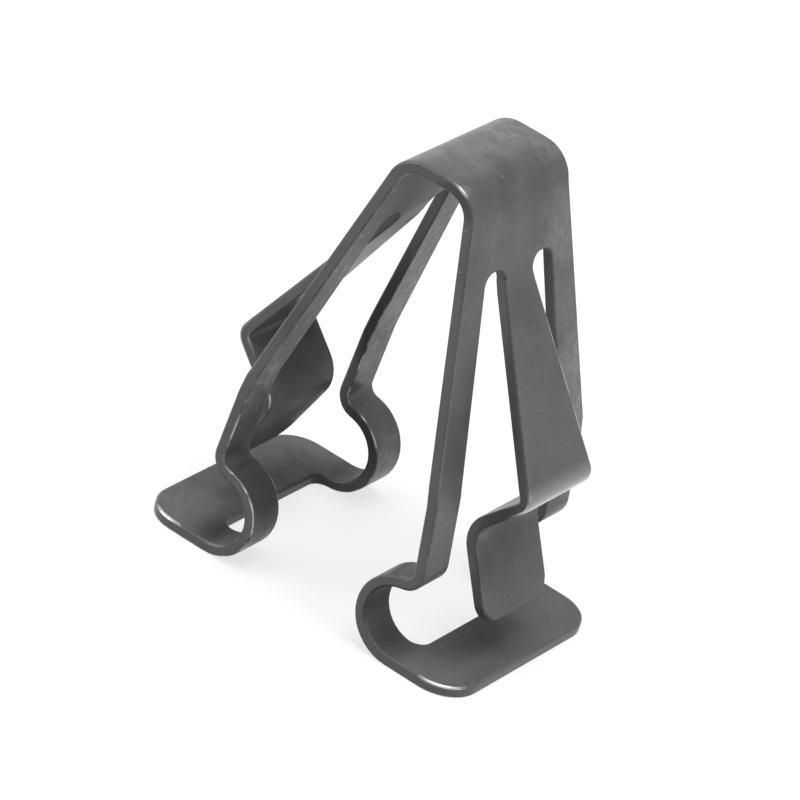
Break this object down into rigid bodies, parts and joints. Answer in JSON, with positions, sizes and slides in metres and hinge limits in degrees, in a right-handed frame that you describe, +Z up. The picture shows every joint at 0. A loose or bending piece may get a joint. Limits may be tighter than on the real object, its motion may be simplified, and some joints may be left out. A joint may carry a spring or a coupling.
{
  "type": "sun visor clip",
  "caption": "Folded spring-steel trim clip with a narrow crown, slotted sides, sprung tongues, hook curls and flat feet.",
  "frame": {"origin": "on the ground plane of the feet, midway between the two sides and midway along the crown", "axes": "+Z up from the feet to the crown, X across the two sides, Y along the crown"},
  "size_m": [0.0196, 0.0122, 0.024],
  "materials": {
    "coated_steel": "satin dark grey coating with bare worn edges"
  },
  "bodies": {
    "root": {"clip": "coated_steel"}
  },
  "joints": []
}
